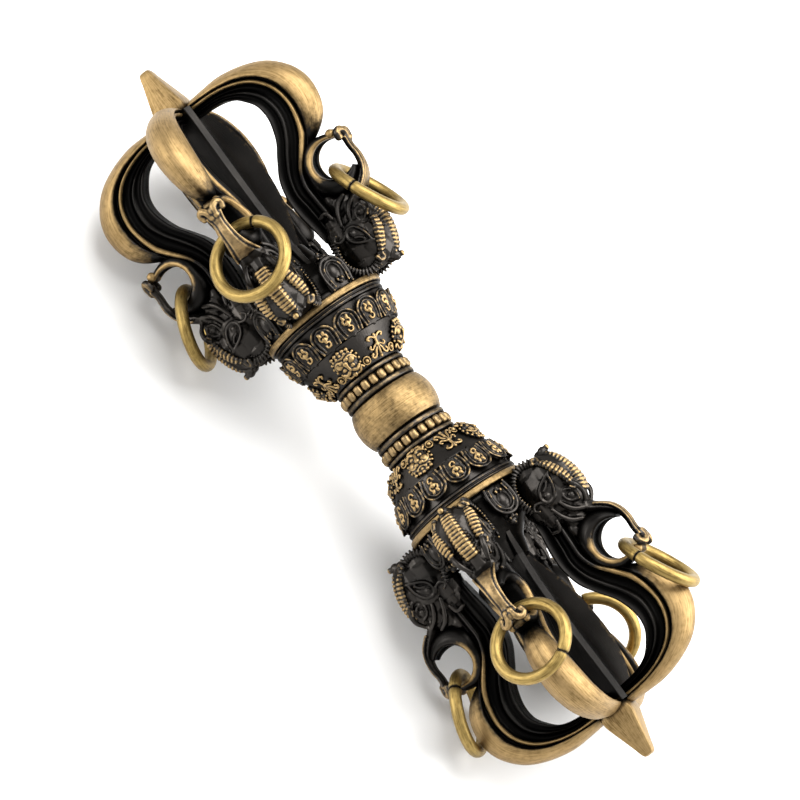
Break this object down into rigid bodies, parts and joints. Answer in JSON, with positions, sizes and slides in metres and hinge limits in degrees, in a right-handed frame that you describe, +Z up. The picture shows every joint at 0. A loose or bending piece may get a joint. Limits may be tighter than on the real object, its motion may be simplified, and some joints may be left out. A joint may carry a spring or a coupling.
{
  "type": "dorje vajra",
  "caption": "Dorje vajra ritual sceptre: a round grip between two mirrored ends of lotus bands, makara heads and closed prongs, with a loose ring in each hook.",
  "frame": {"origin": "centre of the grip globe, on the long axis", "axes": "+X along the axis to the right end, +Z up with the vajra level, two prongs of each end above and two below"},
  "size_m": [0.16, 0.0462, 0.0462],
  "materials": {
    "dark_patina": "black patinated brass, rubbed bright on the relief",
    "antique_brass": "brushed antique brass",
    "ring_brass": "brushed yellow brass wire",
    "rod_steel": "plain rod, hidden inside"
  },
  "bodies": {
    "vajra": {"core_rod": "rod_steel", "grip_globe": "antique_brass", "left_bead_collar": "dark_patina", "left_mask_band": "dark_patina", "left_lotus_band": "dark_patina", "left_rim_ring": "antique_brass", "left_hub": "dark_patina", "left_corner_leaves": "dark_patina", "left_centre_prong": "dark_patina", "left_top_back_head": "dark_patina", "left_top_back_prong": "antique_brass", "left_top_front_head": "dark_patina", "left_top_front_prong": "antique_brass", "left_bottom_front_head": "dark_patina", "left_bottom_front_prong": "antique_brass", "left_bottom_back_head": "dark_patina", "left_bottom_back_prong": "antique_brass", "right_bead_collar": "dark_patina", "right_mask_band": "dark_patina", "right_lotus_band": "dark_patina", "right_rim_ring": "antique_brass", "right_hub": "dark_patina", "right_corner_leaves": "dark_patina", "right_centre_prong": "dark_patina", "right_top_back_head": "dark_patina", "right_top_back_prong": "antique_brass", "right_top_front_head": "dark_patina", "right_top_front_prong": "antique_brass", "right_bottom_front_head": "dark_patina", "right_bottom_front_prong": "antique_brass", "right_bottom_back_head": "dark_patina", "right_bottom_back_prong": "antique_brass"},
    "left_top_back_loose_ring": {"left_top_back_ring": "ring_brass"},
    "left_top_front_loose_ring": {"left_top_front_ring": "ring_brass"},
    "left_bottom_front_loose_ring": {"left_bottom_front_ring": "ring_brass"},
    "left_bottom_back_loose_ring": {"left_bottom_back_ring": "ring_brass"},
    "right_top_back_loose_ring": {"right_top_back_ring": "ring_brass"},
    "right_top_front_loose_ring": {"right_top_front_ring": "ring_brass"},
    "right_bottom_front_loose_ring": {"right_bottom_front_ring": "ring_brass"},
    "right_bottom_back_loose_ring": {"right_bottom_back_ring": "ring_brass"}
  },
  "joints": [
    {"name": "left_top_back_ring_swing", "type": "hinge", "parent": "vajra", "child": "left_top_back_loose_ring", "pos_m": [-0.04281, 0.01306, 0.01306], "axis": [0, 0.7071, -0.7071], "range_deg": [-115, 0]},
    {"name": "left_top_front_ring_swing", "type": "hinge", "parent": "vajra", "child": "left_top_front_loose_ring", "pos_m": [-0.04281, -0.01306, 0.01306], "axis": [0, 0.7071, 0.7071], "range_deg": [-115, 0]},
    {"name": "left_bottom_front_ring_swing", "type": "hinge", "parent": "vajra", "child": "left_bottom_front_loose_ring", "pos_m": [-0.04281, -0.01306, -0.01306], "axis": [0, -0.7071, 0.7071], "range_deg": [-115, 0]},
    {"name": "left_bottom_back_ring_swing", "type": "hinge", "parent": "vajra", "child": "left_bottom_back_loose_ring", "pos_m": [-0.04281, 0.01306, -0.01306], "axis": [0, -0.7071, -0.7071], "range_deg": [-115, 0]},
    {"name": "right_top_back_ring_swing", "type": "hinge", "parent": "vajra", "child": "right_top_back_loose_ring", "pos_m": [0.04619, 0.01425, 0.01425], "axis": [0, -0.7071, 0.7071], "range_deg": [0, 130]},
    {"name": "right_top_front_ring_swing", "type": "hinge", "parent": "vajra", "child": "right_top_front_loose_ring", "pos_m": [0.04619, -0.01425, 0.01425], "axis": [0, -0.7071, -0.7071], "range_deg": [0, 130]},
    {"name": "right_bottom_front_ring_swing", "type": "hinge", "parent": "vajra", "child": "right_bottom_front_loose_ring", "pos_m": [0.04619, -0.01425, -0.01425], "axis": [0, 0.7071, -0.7071], "range_deg": [0, 130]},
    {"name": "right_bottom_back_ring_swing", "type": "hinge", "parent": "vajra", "child": "right_bottom_back_loose_ring", "pos_m": [0.04619, 0.01425, -0.01425], "axis": [0, 0.7071, 0.7071], "range_deg": [0, 130]}
  ]
}
